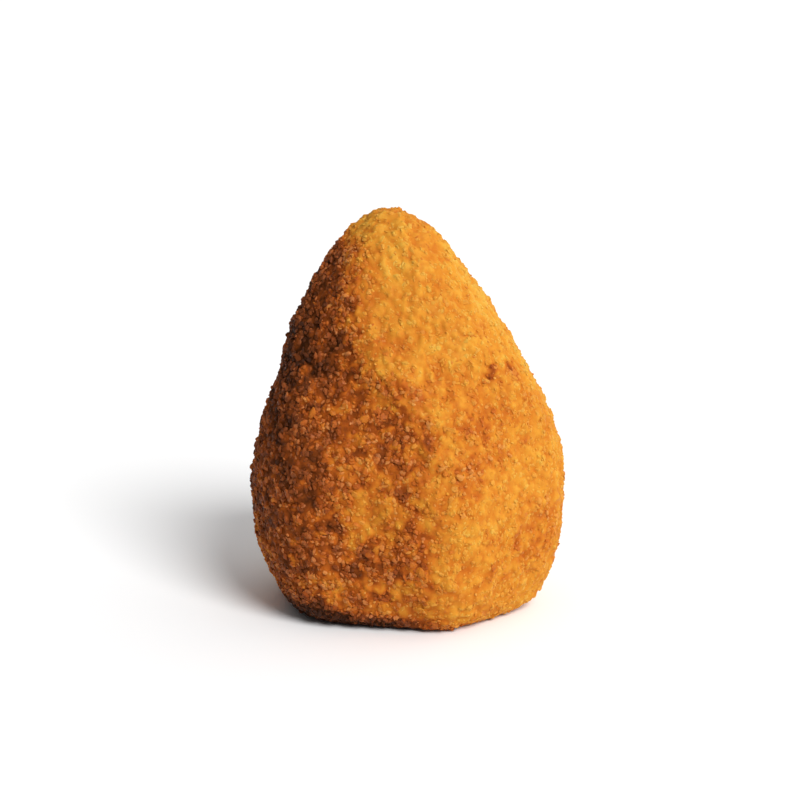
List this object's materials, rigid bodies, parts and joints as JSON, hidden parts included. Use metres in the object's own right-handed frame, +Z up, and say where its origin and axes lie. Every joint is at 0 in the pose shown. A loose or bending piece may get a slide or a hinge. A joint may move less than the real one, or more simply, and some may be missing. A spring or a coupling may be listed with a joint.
{
  "type": "cone-shaped arancino",
  "caption": "Whole cone-shaped arancino: a hand-moulded rice cone with a rounded, leaning tip and pressed flats, in a coarse browned breadcrumb crust, standing on its flat underside.",
  "frame": {"origin": "on the flat underside, below the middle of the outer box", "axes": "+Z up through the tip, -Y the front as pictured, +X to the right of someone who looks at the front"},
  "size_m": [0.0744, 0.0676, 0.0941],
  "materials": {
    "crumb_crust": "deep-fried breadcrumbs, golden-brown and browner in patches, rough and mostly dull with a slight gloss of oil"
  },
  "bodies": {
    "root": {"arancino": "crumb_crust"}
  },
  "joints": []
}
